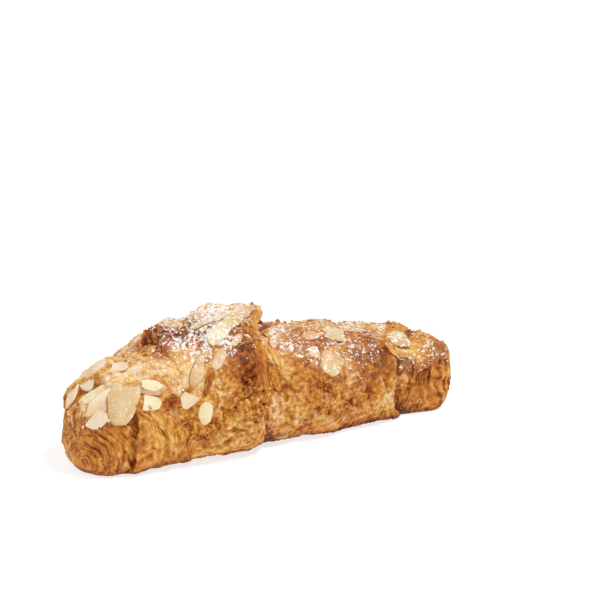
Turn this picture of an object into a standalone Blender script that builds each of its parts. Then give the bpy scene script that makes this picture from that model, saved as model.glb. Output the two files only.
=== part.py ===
"""An almond croissant: a roll of layered dough with a slight bend, browned, crusted with baked almond
cream and scattered with sliced almonds. It is one baked piece, so it is one solid, and the almonds are
fused to it.

The croissant lies on its flat underside along X, its front towards -Y. Lengths are in metres. A place on
its surface is (x, angle): x runs along the roll from the middle of its thickest turn, and the angle goes
round the roll in degrees, from 0 underneath through 90 at the front and 180 on top to 270 at the back.
"""

from typing import NamedTuple

import bmesh
import bpy
import numpy as np


class Turn(NamedTuple):
    """One turn of dough on an arm: its sections at the middle and at its edge, and where that edge runs.

    A section is (half its width, its height). The edge is given by its distance from the middle on top,
    how much further out it runs at the front and at the back, how much it wavers, and the length over
    which it rounds off.
    """

    inner: tuple
    outer: tuple
    edge: float
    front: float = 0.0
    back: float = 0.0
    waver: float = 0.0012
    shoulder: float = 0.006


# Overall form
BEND = 0.016  # how far forward the tips come
BEND_MIDDLE = 0.015  # where the roll is furthest back
LINE_HEIGHT = 0.0215  # of the roll's line, where the sections are widest, at that place
LINE_DROP = 0.0075  # how much lower the line is at the tips
TOP_POWER = 2.1  # roundness of the upper half of a section, 2 being an ellipse
BASE_POWER = 2.6
UNDERSIDE = 0.0030  # how far the underside is pressed flat
SHOULDER_POWER = 2.4  # roundness of the edges and tips
WAVES = 5  # of an edge, round the roll
NOSE = 0.014  # length of the rounded tips

# The turns of dough on each arm, from the outermost inwards. Each runs on underneath the one before it, and
# the innermost ends in the arm's tip.
LEFT_ARM = (
    Turn((0.0365, 0.0525), (0.0355, 0.0520), 0.0105, 0.010, 0.006),
    Turn((0.0350, 0.0520), (0.0305, 0.0480), 0.0275, 0.007, 0.004),
    Turn((0.0320, 0.0465), (0.0245, 0.0395), 0.0520, -0.010, -0.004),
    Turn((0.0310, 0.0450), (0.0220, 0.0375), 0.0555, 0.000, 0.002, shoulder=0.008),
    Turn((0.0210, 0.0350), (0.0155, 0.0290), 0.0665, waver=0.0, shoulder=NOSE),
)
RIGHT_ARM = (
    Turn((0.0365, 0.0525), (0.0350, 0.0525), 0.0260, -0.024, 0.006),
    Turn((0.0325, 0.0445), (0.0305, 0.0415), 0.0600, -0.010, 0.008),
    Turn((0.0305, 0.0435), (0.0255, 0.0385), 0.0820, -0.009, 0.004),
    Turn((0.0290, 0.0420), (0.0225, 0.0375), 0.0940, -0.014, 0.003, shoulder=0.004),
    Turn((0.0200, 0.0370), (0.0150, 0.0330), 0.1120, waver=0.0, shoulder=NOSE),
)

# Relief of the crust: (height, size across) of its lumps
LUMPS = ((0.0012, 0.024), (0.0007, 0.009))
ROLL_RADIUS = 0.028  # round the roll, for the sizes of things on it
TIP_CALM = 0.008  # size of a section near a tip where the relief fades away
BASE_CALM = (15, 45)  # angles from underneath between which the relief sets in
FOLD_DEPTH = 0.0005  # of the slanting folds where the layers of dough show
FOLD_PITCH = 0.0065
FOLD_SLANT = 0.010  # how far a fold leans along the roll from underneath to the top

# The baked almond cream lies over the top, down to these angles at the front and the back, by places
# along x.
CREAM_THICKNESS = 0.0009
CREAM_PLACES = (-0.066, -0.060, -0.048, -0.040, -0.032, -0.026, 0.008, 0.014, 0.050, 0.078, 0.092, 0.108)
CREAM_FRONT = (150, 116, 113, 94, 76, 40, 35, 85, 95, 100, 130, 165)
CREAM_BACK = (215, 235, 242, 246, 250, 254, 258, 250, 246, 240, 228, 205)
CREAM_EDGE = 5  # degrees over which the cream thins out
CREAM_UNEVEN = 9  # degrees by which its edge strays

# Knobs of baked cream: (x, angle, radius, height)
KNOBS = (
    (-0.0650, 228, 0.0060, 0.0030),
    (-0.0420, 110, 0.0040, 0.0014),
    (-0.0330, 84, 0.0040, 0.0012),
    (0.0120, 50, 0.0070, 0.0020),
    (0.0030, 55, 0.0050, 0.0012),
    (-0.0080, 92, 0.0060, 0.0010),
    (0.0330, 232, 0.0060, 0.0014),
    (-0.0250, 246, 0.0065, 0.0016),
    (0.0620, 226, 0.0050, 0.0012),
)

# Sliced almonds on the front and top: (x, angle, length, width, turn), turn being from along x towards a
# larger angle
ALMONDS = (
    (-0.0580, 138, 0.0110, 0.0080, 33),
    (-0.0555, 128, 0.0160, 0.0094, 28),
    (-0.0580, 180, 0.0125, 0.0065, 128),
    (-0.0560, 168, 0.0130, 0.0060, 121),
    (-0.0590, 155, 0.0145, 0.0092, 172),
    (-0.0640, 144, 0.0084, 0.0055, 125),
    (-0.0500, 200, 0.0088, 0.0080, 150),
    (-0.0480, 176, 0.0088, 0.0052, 132),
    (-0.0572, 224, 0.0105, 0.0065, 172),
    (-0.0550, 206, 0.0075, 0.0055, 80),
    (-0.0455, 138, 0.0100, 0.0058, 127),
    (-0.0470, 121, 0.0086, 0.0072, 156),
    (-0.0150, 192, 0.0115, 0.0065, 104),
    (-0.0100, 166, 0.0125, 0.0060, 173),
    (0.0005, 167, 0.0150, 0.0082, 10),
    (0.0100, 162, 0.0165, 0.0090, 38),
    (0.0000, 154, 0.0160, 0.0086, 32),
    (-0.0100, 147, 0.0150, 0.0080, 25),
    (-0.0260, 125, 0.0138, 0.0072, 40),
    (-0.0165, 126, 0.0092, 0.0045, 36),
    (-0.0020, 135, 0.0085, 0.0034, 27),
    (-0.0330, 109, 0.0082, 0.0066, 28),
    (-0.0270, 96, 0.0088, 0.0062, 88),
    (0.0215, 141, 0.0072, 0.0038, 58),
    (0.0400, 140, 0.0108, 0.0062, 129),
    (0.0380, 121, 0.0066, 0.0066, 114),
    (0.0450, 113, 0.0142, 0.0112, 38),
    (0.0540, 152, 0.0125, 0.0070, 60),
    (0.0510, 143, 0.0145, 0.0072, 119),
    (0.0660, 158, 0.0092, 0.0055, 171),
    (0.0695, 167, 0.0085, 0.0062, 165),
    (0.0865, 147, 0.0142, 0.0096, 7),
)
# and on the back, where they are strewn by chance over these ranges
BACK_ALMONDS = 13
BACK_SEED = 11
BACK_X = (-0.052, 0.088)
BACK_ANGLE = (196, 238)
BACK_LENGTH = (0.0090, 0.0150)
BACK_SLIMNESS = (0.50, 0.64)  # width as a share of length

ALMOND_THICKNESS = 0.0012
ALMOND_SUNK = 0.0004
ALMOND_BEND = 0.055  # radius to which a slice follows the roll
ALMOND_TAPER = 0.22  # how much narrower one end is
ALMOND_SIDES = 9

# Flakes of layered dough that stand off the crust, described as the almonds are
FLAKES = (
    (0.0830, 128, 0.0145, 0.0060, 177),
    (-0.0225, 117, 0.0100, 0.0040, 50),
    (-0.0475, 131, 0.0125, 0.0050, 134),
    (-0.0465, 102, 0.0160, 0.0034, 112),
)
FLAKE_THICKNESS = 0.0018
FLAKE_SUNK = 0.0006

# The mesh of the roll
RING_PITCH = 0.0027
RING_GAP = 0.0005  # the least distance between two rings
EDGE_RINGS = (-0.0045, -0.0025, -0.0012, -0.0004, 0.0004)  # rings beside the edge of a turn, outwards
NOSE_RINGS = 6
SPOKES = 44
BOX_MIDDLE = (0.0225, -0.0010)  # x and y of the middle of its box, which goes to the origin

CRUST_COLOUR = (0.46, 0.20, 0.06, 1)
CRUST_ROUGHNESS = 0.55


def lattice(cell, seed):
    """A repeatable random number from -1 to 1 for each whole-number cell (..., 3)."""
    mixed = (cell * (374761393, 668265263, 2147483647)).sum(-1) + seed * 1274126177
    mixed &= 0xFFFFFFFF
    for shift, factor in ((13, 1274126177), (16, 1540483477)):
        mixed = ((mixed ^ (mixed >> shift)) * factor) & 0xFFFFFFFF
    return ((mixed ^ (mixed >> 15)) & 0xFFFFFF) / 0xFFFFFF * 2 - 1


def noise(points, size, seed):
    """Smooth noise from -1 to 1 at points (..., 3), with lumps about size across."""
    place = points / size
    cell = np.floor(place).astype(np.int64)
    part = place - cell
    part = part**3 * (part * (part * 6 - 15) + 10)
    total = 0
    for corner in np.ndindex(2, 2, 2):
        share = np.where(np.array(corner) == 1, part, 1 - part).prod(-1)
        total = total + share * lattice(cell + np.array(corner), seed)
    return total


def ramp(value, low, high):
    """0 up to low, 1 from high, and smooth between."""
    t = np.clip((value - low) / (high - low), 0, 1)
    return t * t * (3 - 2 * t)


def spine(x):
    """The roll's line at x: its y, its height, and the level direction across it, pointing back."""
    reach = np.where(x < BEND_MIDDLE, LEFT_ARM[-1].edge + BEND_MIDDLE, RIGHT_ARM[-1].edge - BEND_MIDDLE)
    away = (x - BEND_MIDDLE) / reach
    slope = -2 * BEND * away / reach
    length = np.hypot(1, slope)
    across = np.stack([-slope / length, 1 / length, np.zeros_like(x)], -1)
    return -BEND * away**2, LINE_HEIGHT - LINE_DROP * away**2, across


def rounded(distance, length, power):
    """A rounded rise from 0 at distance 0 to 1 at the given length."""
    left = np.clip(1 - distance / length, 0, 1)
    return np.clip(1 - left**power, 0, 1) ** (1 / power)


def edge_lean(turn, angle):
    """How much further out than on top a turn's edge runs at each angle."""
    lean = turn.front * np.clip(np.sin(angle), 0, 1) + turn.back * np.clip(-np.sin(angle), 0, 1)
    return lean + turn.waver * np.sin(WAVES * angle + turn.edge / turn.shoulder)


def turn_radius(turn, out, angle, line_height):
    """How far a turn's surface is from the roll's line at a distance out on its arm, 0 beyond its edge."""
    along = out / turn.edge
    half_width = turn.inner[0] + (turn.outer[0] - turn.inner[0]) * along
    height = turn.inner[1] + (turn.outer[1] - turn.inner[1]) * along
    upper = np.cos(angle) < 0
    power = np.where(upper, TOP_POWER, BASE_POWER)
    reach = np.where(upper, height - line_height, line_height + UNDERSIDE)
    level = np.abs(np.sin(angle)) / half_width
    upright = np.abs(np.cos(angle)) / reach
    radius = (level**power + upright**power) ** (-1 / power)
    return radius * rounded(turn.edge + edge_lean(turn, angle) - out, turn.shoulder, SHOULDER_POWER)


def cream(points, x, angle):
    """Where the almond cream lies: 1 on it and 0 off it."""
    degrees = np.degrees(angle) + CREAM_UNEVEN * noise(points, 0.009, 7)
    front = np.interp(x, CREAM_PLACES, CREAM_FRONT)
    back = np.interp(x, CREAM_PLACES, CREAM_BACK)
    return ramp(np.minimum(degrees - front, back - degrees), 0, CREAM_EDGE)


def relief(points, x, angle):
    """How far the crust stands out from the plain roll: lumps, cream, knobs, and folds on the bare dough."""
    height = 0
    for seed, (rise, size) in enumerate(LUMPS):
        height = height + rise * noise(points, size, seed)
    covered = cream(points, x, angle)
    height = height + CREAM_THICKNESS * covered
    for knob_x, knob_angle, radius, rise in KNOBS:
        away = np.hypot(x - knob_x, (angle - np.radians(knob_angle)) * ROLL_RADIUS) / radius
        height = height + rise * np.exp(-(away**2) * 2)
    folds = np.cos((x + FOLD_SLANT * angle / np.pi) / FOLD_PITCH * 2 * np.pi)
    return height + FOLD_DEPTH * folds * (1 - covered) * np.abs(np.sin(angle))


def surface(x, angle):
    """Points of the croissant's surface at places (x, angle in radians)."""
    x, angle = np.broadcast_arrays(x, angle)
    y, line_height, across = spine(x)
    radius = np.zeros(x.shape)
    for left_turn, right_turn in zip(LEFT_ARM, RIGHT_ARM):
        left = turn_radius(left_turn, -x, angle, line_height)
        right = turn_radius(right_turn, x, angle, line_height)
        radius = np.maximum(radius, np.where(x < 0, left, right))
    line = np.stack([x, y, line_height], -1)
    outwards = -across * np.sin(angle)[..., None]
    outwards[..., 2] -= np.cos(angle)
    plain = line + outwards * radius[..., None]
    from_below = np.degrees(np.minimum(angle, 2 * np.pi - angle))
    fade = np.clip(radius / TIP_CALM, 0, 1) * ramp(from_below, *BASE_CALM)
    return plain + outwards * (relief(plain, x, angle) * fade)[..., None]


def ring_places(angles):
    """Where each ring of the mesh crosses each angle: along the edges of the turns, evenly between them."""
    left, right = -LEFT_ARM[-1].edge, RIGHT_ARM[-1].edge
    nose = NOSE * (1 - np.cos(np.arange(1, NOSE_RINGS) / NOSE_RINGS * np.pi / 2))
    rings = [left + nose, right - nose, np.arange(left + NOSE, right - NOSE, RING_PITCH)]
    edges = [(-turn.edge, -edge_lean(turn, angles)) for turn in reversed(LEFT_ARM)]
    edges += [(turn.edge, edge_lean(turn, angles)) for turn in RIGHT_ARM]
    for top, _ in edges[1:-1]:
        rings.append(top + np.sign(top) * np.array(EDGE_RINGS))
    rings = np.sort(np.concatenate(rings))
    rings = rings[np.append(np.diff(rings) > RING_GAP, True)]
    tops = [top for top, _ in edges]
    shifts = [np.interp(rings, tops, [lean[k] for _, lean in edges]) for k in range(len(angles))]
    return rings[:, None] + np.array(shifts).T


def new_object(name, bm):
    """An object made from a bmesh, with its faces turned outwards."""
    bmesh.ops.recalc_face_normals(bm, faces=bm.faces)
    mesh = bpy.data.meshes.new(name)
    bm.to_mesh(mesh)
    bm.free()
    obj = bpy.data.objects.new(name, mesh)
    bpy.context.scene.collection.objects.link(obj)
    return obj


def roll():
    """The roll itself, closed at its tips and cut flat underneath."""
    angles = np.arange(SPOKES) / SPOKES * 2 * np.pi
    bm = bmesh.new()
    rings = []
    for ring_points in surface(ring_places(angles), angles[None, :]):
        rings.append([bm.verts.new(point) for point in ring_points])
    for ring, following in zip(rings, rings[1:]):
        for k in range(SPOKES):
            after = (k + 1) % SPOKES
            bm.faces.new((ring[k], ring[after], following[after], following[k]))
    for ring, tip_x in ((rings[0], -LEFT_ARM[-1].edge), (rings[-1], RIGHT_ARM[-1].edge)):
        tip = bm.verts.new(surface(tip_x, 0))
        for k in range(SPOKES):
            bm.faces.new((ring[k], ring[(k + 1) % SPOKES], tip))
    everything = bm.verts[:] + bm.edges[:] + bm.faces[:]
    bmesh.ops.bisect_plane(bm, geom=everything, dist=1e-6, plane_no=(0, 0, -1), clear_outer=True)
    rim = [edge for edge in bm.edges if edge.is_boundary]
    bmesh.ops.contextual_create(bm, geom=rim)
    return new_object("croissant", bm)


def plate(name, place, thickness, sunk):
    """A thin slice lying on the crust at (x, angle, length, width, turn), bent a little with it."""
    x, degrees, length, width, turn = place
    angle = np.radians(degrees)
    step = width / 2
    half_turn = step / ROLL_RADIUS
    here = surface(x, angle)
    along = surface(x + step, angle) - surface(x - step, angle)
    around = surface(x, angle + half_turn) - surface(x, angle - half_turn)
    outwards = np.cross(around, along)
    outwards /= np.linalg.norm(outwards)
    along /= np.linalg.norm(along)
    around = np.cross(along, outwards)
    long_way = along * np.cos(np.radians(turn)) + around * np.sin(np.radians(turn))
    wide_way = np.cross(outwards, long_way)
    bm = bmesh.new()
    faces = []
    for lift in (-sunk, thickness - sunk):
        corners = []
        for t in np.arange(ALMOND_SIDES) / ALMOND_SIDES * 2 * np.pi:
            u = length / 2 * np.cos(t)
            v = width / 2 * np.sin(t) * (1 - ALMOND_TAPER * np.cos(t))
            drop = (u**2 + v**2) / (2 * ALMOND_BEND)
            corners.append(bm.verts.new(here + u * long_way + v * wide_way + (lift - drop) * outwards))
        centre = bm.verts.new(here + lift * outwards)
        for k in range(ALMOND_SIDES):
            bm.faces.new((corners[k], corners[(k + 1) % ALMOND_SIDES], centre))
        faces.append(corners)
    for k in range(ALMOND_SIDES):
        after = (k + 1) % ALMOND_SIDES
        bm.faces.new((faces[0][k], faces[0][after], faces[1][after], faces[1][k]))
    return new_object(name, bm)


def back_almonds():
    """Places for the almonds on the back."""
    chance = np.random.default_rng(BACK_SEED)
    places = []
    for x in np.linspace(*BACK_X, BACK_ALMONDS):
        length = chance.uniform(*BACK_LENGTH)
        width = length * chance.uniform(*BACK_SLIMNESS)
        places.append((x, chance.uniform(*BACK_ANGLE), length, width, chance.uniform(0, 180)))
    return places


def fuse(body, pieces):
    """Join the pieces to the body as one solid, without sealed hollows or loose scraps."""
    collection = bpy.data.collections.new("pieces")
    bpy.context.scene.collection.children.link(collection)
    for piece in pieces:
        bpy.context.scene.collection.objects.unlink(piece)
        collection.objects.link(piece)
    union = body.modifiers.new("union", "BOOLEAN")
    union.operation = "UNION"
    union.operand_type = "COLLECTION"
    union.collection = collection
    union.solver = "EXACT"
    graph = bpy.context.evaluated_depsgraph_get()
    bm = bmesh.new()
    bm.from_mesh(body.evaluated_get(graph).to_mesh())
    body.modifiers.remove(union)
    for piece in pieces:
        bpy.data.objects.remove(piece)
    bpy.data.collections.remove(collection)
    keep_largest_shell(bm)
    bm.to_mesh(body.data)
    bm.free()


def keep_largest_shell(bm):
    """Delete every shell but the one with the most faces."""
    waiting = set(bm.faces)
    shells = []
    while waiting:
        shell = {waiting.pop()}
        front = list(shell)
        while front:
            face = front.pop()
            for edge in face.edges:
                for other in edge.link_faces:
                    if other in waiting:
                        waiting.remove(other)
                        shell.add(other)
                        front.append(other)
        shells.append(shell)
    shells.sort(key=len)
    for shell in shells[:-1]:
        bmesh.ops.delete(bm, geom=list(shell), context="FACES")


def crust_material():
    """Browned crust."""
    material = bpy.data.materials.new("crust")
    material.use_nodes = True
    shader = material.node_tree.nodes["Principled BSDF"]
    shader.inputs["Base Color"].default_value = CRUST_COLOUR
    shader.inputs["Roughness"].default_value = CRUST_ROUGHNESS
    shader.inputs["Metallic"].default_value = 0
    return material


def main():
    for obj in list(bpy.data.objects):
        bpy.data.objects.remove(obj)
    croissant = roll()
    pieces = []
    for k, place in enumerate(ALMONDS + tuple(back_almonds())):
        pieces.append(plate(f"almond_{k}", place, ALMOND_THICKNESS, ALMOND_SUNK))
    for k, place in enumerate(FLAKES):
        pieces.append(plate(f"flake_{k}", place, FLAKE_THICKNESS, FLAKE_SUNK))
    fuse(croissant, pieces)
    for vertex in croissant.data.vertices:
        vertex.co.x -= BOX_MIDDLE[0]
        vertex.co.y -= BOX_MIDDLE[1]
    croissant.data.materials.append(crust_material())


if __name__ == "__main__":
    main()
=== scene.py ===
"""The looks of an almond croissant: overlapping turns of browned layered dough, crusted with baked almond
cream, scattered with sliced almonds and dusted with icing sugar.

Lengths are in metres. A place on the croissant is (x, angle): x runs along the roll from the middle of its
thickest turn, and the angle goes round the roll, from 0 underneath through 90 degrees at the front and 180
on top to 270 at the back. ORIGIN moves the finished meshes into the frame of the CAD model.
"""

import math
from typing import NamedTuple

import bmesh
import bpy
import numpy as np
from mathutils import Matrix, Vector


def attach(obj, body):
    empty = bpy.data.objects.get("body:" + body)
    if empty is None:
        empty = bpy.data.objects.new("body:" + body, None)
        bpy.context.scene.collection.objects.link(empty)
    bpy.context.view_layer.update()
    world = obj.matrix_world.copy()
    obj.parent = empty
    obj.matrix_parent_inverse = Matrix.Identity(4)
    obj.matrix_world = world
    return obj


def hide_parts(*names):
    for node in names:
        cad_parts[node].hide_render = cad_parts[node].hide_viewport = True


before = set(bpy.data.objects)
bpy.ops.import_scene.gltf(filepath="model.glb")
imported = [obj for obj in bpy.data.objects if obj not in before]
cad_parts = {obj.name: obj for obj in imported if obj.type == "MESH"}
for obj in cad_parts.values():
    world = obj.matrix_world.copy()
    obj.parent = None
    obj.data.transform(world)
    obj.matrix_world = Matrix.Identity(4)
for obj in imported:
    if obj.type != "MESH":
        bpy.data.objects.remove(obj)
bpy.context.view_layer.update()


class Turn(NamedTuple):
    """One turn of dough on an arm: its sections at the middle and at its edge, and where that edge runs.

    A section is (half its width, its height). The edge is given by its distance from the middle on top,
    how much further out it runs at the front and at the back, how much it wavers, and the length over
    which it rounds off. The lip is how far the edge stands off the dough beneath, and bridged is how far
    the almond cream smooths the edge over, from 0 for not at all to 1.
    """

    inner: tuple
    outer: tuple
    edge: float
    front: float = 0.0
    back: float = 0.0
    waver: float = 0.0012
    shoulder: float = 0.006
    lip: float = 0.003
    bridged: float = 0.0

    @property
    def is_tip(self):
        """Whether this is an arm's last turn, which ends in a rounded tip."""
        return self.shoulder == NOSE


# Overall form
ORIGIN = (0.0225, -0.0010, 0.0)  # of the CAD frame
BEND = 0.016  # how far forward the tips come
BEND_MIDDLE = 0.015  # where the roll is furthest back
LINE_HEIGHT = 0.0215  # of the roll's line, where the sections are widest, at that place
LINE_DROP = 0.0075  # how much lower the line is at the tips
TOP_POWER = 2.1  # roundness of the upper half of a section, 2 being an ellipse
BASE_POWER = 2.6
UNDERSIDE = 0.0030  # how far the underside is pressed flat
SHOULDER_POWER = 2.4  # roundness of the edges and tips
WAVES = 5  # of an edge, round the roll
NOSE = 0.014  # length of the rounded tips
ROLL_RADIUS = 0.028  # round the roll, for the sizes of things on it

# The turns of dough on each arm, from the outermost inwards
LEFT_ARM = (
    Turn((0.0365, 0.0525), (0.0355, 0.0520), 0.0105, 0.010, 0.006, lip=0.0030, bridged=1.0),
    Turn((0.0350, 0.0520), (0.0305, 0.0480), 0.0275, 0.007, 0.004, lip=0.0042, bridged=1.0),
    Turn((0.0320, 0.0465), (0.0245, 0.0395), 0.0520, -0.010, -0.004, lip=0.0026, bridged=0.4),
    Turn((0.0310, 0.0450), (0.0220, 0.0375), 0.0555, 0.000, 0.002, shoulder=0.008, lip=0.0018, bridged=1.0),
    Turn((0.0210, 0.0350), (0.0155, 0.0290), 0.0665, waver=0.0, shoulder=NOSE),
)
RIGHT_ARM = (
    Turn((0.0365, 0.0525), (0.0350, 0.0525), 0.0260, -0.018, 0.006, lip=0.0060),
    Turn((0.0325, 0.0445), (0.0305, 0.0415), 0.0600, -0.010, 0.008, lip=0.0020, bridged=0.6),
    Turn((0.0305, 0.0435), (0.0255, 0.0385), 0.0820, -0.009, 0.004, lip=0.0022, bridged=0.3),
    Turn((0.0290, 0.0420), (0.0225, 0.0375), 0.0940, -0.014, 0.003, shoulder=0.004, lip=0.0022),
    Turn((0.0200, 0.0370), (0.0150, 0.0330), 0.1120, waver=0.0, shoulder=NOSE),
)

# Mesh of the turns
PITCH = 0.00043  # from row to row along the roll
SPOKES = 350  # round the roll
NOSE_ROWS = 30
LEAST_RADIUS = 0.0004
LIP_ROWS = 9
LIP_LENGTH = 0.0032  # over which an edge rounds off
BRIDGE_LENGTH = 0.005  # how much longer that is where the cream bridges the edge
UNDER_LIP = ((0.0008, 0.0009), (0.0020, 0.0018), (0.0036, 0.0060))  # rows beneath it: (inwards, deeper)
EDGE_INSET = 0.0012  # of the mesh's last rows behind the edge
OVERLAP = 0.006  # how far a turn runs on beneath the one before it
GROOVE_SHADE_WIDTH = 0.0032  # of the darker line along the foot of an edge, partly darker bake and partly painted shade in the recess
NO_GROOVE = -1.0  # an edge this far off has no groove

# Relief of the crust
LUMPS = ((0.0012, 0.024), (0.0007, 0.009))  # (height, size across)
TIP_CALM = 0.008  # radius near a tip below which the relief fades away
BASE_CALM = (15, 45)  # angles from underneath between which it sets in
RIM = 0.0085  # width of the bare edge of a turn that the cream doesn't bridge
RIM_END = 0.0012  # length over which the cream sets in behind it

# The almond cream lies over the top, down to these angles at the front and the back, by places along x
CREAM_THICKNESS = 0.0001
CREAM_PLACES = (-0.066, -0.060, -0.048, -0.040, -0.032, -0.026, 0.008, 0.014, 0.050, 0.078, 0.092, 0.108)
CREAM_FRONT = (150, 116, 113, 94, 76, 40, 35, 52, 58, 62, 92, 130)
CREAM_BACK = (215, 235, 242, 246, 250, 254, 258, 250, 246, 240, 228, 205)
CREAM_EDGE = 5  # degrees over which it thins out
CREAM_UNEVEN = 9  # degrees by which its edge strays

# Knobs of baked cream and hollows: (x, angle, radius, height)
KNOBS = (
    (-0.065, 228, 0.006, 0.0012), (-0.033, 84, 0.004, 0.0012), (0.003, 55, 0.005, 0.0012),
    (-0.008, 92, 0.006, 0.001), (0.033, 232, 0.006, 0.0014), (-0.025, 246, 0.0065, 0.0016),
    (0.062, 226, 0.005, 0.0012), (0.019, 170, 0.006, 0.0016), (0.011, 163, 0.006, 0.0018),
    (0.002, 156, 0.006, 0.0018), (-0.007, 149, 0.006, 0.0014), (-0.027, 188, 0.0065, 0.0015),
    (0.1085, 150, 0.007, 0.0034), (0.1015, 172, 0.0042, -0.0032), (0.085, 178, 0.012, -0.0011),
    (-0.005, 206, 0.005, -0.0022), (0.0005, 217, 0.0055, -0.004), (0.0065, 203, 0.0078, 0.0029),
    (-0.0125, 203, 0.005, 0.0022), (0.0455, 194, 0.008, -0.0034), (-0.035, 207, 0.007, -0.0022),
    (-0.044, 198, 0.006, 0.0018), (-0.0405, 111, 0.0045, 0.0012), (0.0165, 98, 0.0045, -0.0014),
    (0.015, 104, 0.009, -0.004), (0.015, 80, 0.009, -0.003), (0.022, 130, 0.007, -0.0015),
)

# Edges of dough that stand off the front: from (x, angle) to (x, angle), how high, and how far the rise
# reaches
FOLDS = (
    (-0.053, 106, -0.0536, 72, 0.0012, 0.004),
    (-0.0516, 96, -0.0486, 74, 0.0011, 0.003),
    (-0.0486, 74, -0.05, 60, 0.001, 0.003),
    (-0.052, 124, -0.045, 96, 0.0014, 0.003),
    (-0.045, 96, -0.0412, 64, 0.0014, 0.003),
    (-0.0575, 88, -0.0575, 60, 0.001, 0.0025),
    (-0.047, 88, -0.0452, 62, 0.0008, 0.002),
    (0.0905, 118, 0.088, 70, 0.0012, 0.003),
)

# Where the rolled-up end of each arm shows its layers: the middle of the swirl and the way it faces
LEFT_SWIRL = (-0.0645, -0.0183, 0.0064)
LEFT_AXIS = (-0.80, -0.55, -0.15)
RIGHT_SWIRL = (0.1100, -0.0150, 0.0150)
RIGHT_AXIS = (0.95, -0.30, 0.0)
LAYER_PITCH = 0.0022  # from layer to layer
LAYER_SLANT = 3.5  # layers by which they shift in one radian round the roll

# Where the almond cream is rougher: (x, angle, radius, how much)
ROUGH = (
    (-0.008, 150, 0.016, 0.3), (0.0, 105, 0.012, 0.6), (-0.025, 185, 0.009, 0.9),
    (-0.016, 172, 0.008, 0.5), (-0.01, 76, 0.018, 1.0), (-0.032, 84, 0.01, 0.8),
    (-0.042, 155, 0.014, -0.7), (-0.03, 140, 0.01, -0.6), (0.045, 145, 0.02, -0.7),
    (0.075, 145, 0.02, -0.6), (0.1, 145, 0.014, -0.8), (0.05, 80, 0.024, 0.5),
)

# Darker places and, below 0, paler ones: (x, angle, radius, how dark), mostly bake, some painted shadow
BAKED_AND_SHADED = (
    # The spots round (-0.005, 124) darken the hump's steep right face.
    (-0.005, 124, 0.011, 0.23), (0.002, 138, 0.008, 0.06), (-0.007, 112, 0.009, 0.22),
    (0.003, 114, 0.008, 0.14), (-0.008, 80, 0.016, 0.07), (0.008, 152, 0.007, 0.12),
    # (0.016, 106) and (0.0168, 96) are painted shadow in the pocket beside the thickest turn's step.
    (-0.011, 160, 0.014, 0.36), (0.04, 140, 0.016, 0.12), (0.016, 106, 0.003, 0.3),
    (0.0168, 96, 0.0034, 0.35), (0.05, 122, 0.03, 0.09), (-0.0265, 188, 0.0055, 0.28),
    (-0.005, 182, 0.008, 0.12), (-0.018, 166, 0.008, 0.05), (0.035, 120, 0.012, 0.12),
    (0.062, 118, 0.012, 0.17), (0.069, 134, 0.012, 0.18), (0.074, 114, 0.01, 0.18),
    (0.064, 152, 0.01, 0.14), (0.1, 150, 0.008, 0.22), (0.103, 130, 0.008, 0.3),
    (0.101, 160, 0.007, 0.2), (0.096, 112, 0.011, 0.24), (-0.064, 205, 0.007, 0.4),
    (-0.064, 165, 0.006, 0.3), (-0.063, 128, 0.005, 0.25), (-0.065, 85, 0.01, 0.12),
    (0.015, 98, 0.005, 0.15), (0.012, 48, 0.011, 0.45), (-0.04, 111, 0.005, 0.38),
    (-0.02, 172, 0.012, 0.12), (-0.027, 163, 0.008, 0.26), (-0.03, 104, 0.005, 0.15),
    (-0.008, 72, 0.014, -0.05), (-0.04, 150, 0.018, -0.12), (-0.025, 150, 0.01, -0.08),
    (-0.045, 180, 0.014, -0.06), (0.014, 128, 0.006, -0.24), (0.015, 146, 0.006, -0.24),
    (0.016, 110, 0.006, -0.2), (-0.049, 84, 0.012, -0.2), (-0.018, 74, 0.007, -0.12),
    (0.1, 120, 0.012, -0.1), (0.108, 105, 0.007, -0.25), (0.03, 165, 0.014, -0.06),
)

# Where the cream has a pale smooth glaze, and where it has none: (x, angle, radius, how much)
GLAZED = (
    (-0.042, 150, 0.014, 0.2), (-0.026, 140, 0.007, 0.22), (-0.03, 118, 0.006, 0.25),
    (-0.01, 72, 0.014, -0.3), (-0.012, 158, 0.015, -0.9), (0.038, 140, 0.016, -0.1),
    (-0.003, 122, 0.014, -0.6), (0.066, 130, 0.016, -0.6), (0.095, 140, 0.014, -0.6),
    (-0.024, 182, 0.011, -0.7), (-0.026, 162, 0.009, -0.5), (0.035, 110, 0.016, -0.25),
)

# Where icing sugar lies thicker or thinner: (x, angle, radius, how much)
SUGARED = (
    (-0.012, 158, 0.011, 0.45), (0.005, 158, 0.01, 0.25), (-0.002, 124, 0.01, -1.0),
    (0.008, 134, 0.009, -1.0), (-0.027, 190, 0.006, -0.6), (0.048, 145, 0.02, 0.15),
    (0.025, 139, 0.007, -0.45), (0.033, 138, 0.009, -0.2), (0.101, 138, 0.009, 0.3),
    (-0.038, 150, 0.009, 0.2),
)

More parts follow.
